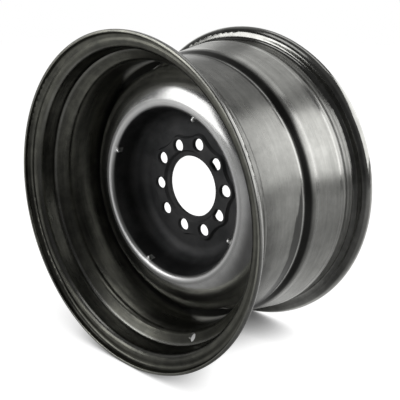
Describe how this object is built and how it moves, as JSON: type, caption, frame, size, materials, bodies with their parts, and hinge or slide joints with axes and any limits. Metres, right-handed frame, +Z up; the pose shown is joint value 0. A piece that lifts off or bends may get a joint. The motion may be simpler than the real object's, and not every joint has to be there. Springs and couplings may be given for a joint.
{
  "type": "steel car wheel",
  "caption": "Bare steel car wheel: rolled drop-centre rim and welded bowl-shaped centre pressing with hub bore, interleaved lug circles, hub-cap nubs and cooling gaps.",
  "frame": {"origin": "on the wheel's axis, midway between the two flange lips", "axes": "+Y along the axis from the street side to the car side, +Z up, wheel upright"},
  "size_m": [0.4152, 0.2286, 0.4152],
  "materials": {
    "rim_steel": "bare rolled steel, satin",
    "disc_steel": "bare pressed steel, satin",
    "weld_steel": "bare weld bead, dull"
  },
  "bodies": {
    "root": {"rim": "rim_steel", "centre_disc": "disc_steel", "disc_welds": "weld_steel"}
  },
  "joints": []
}
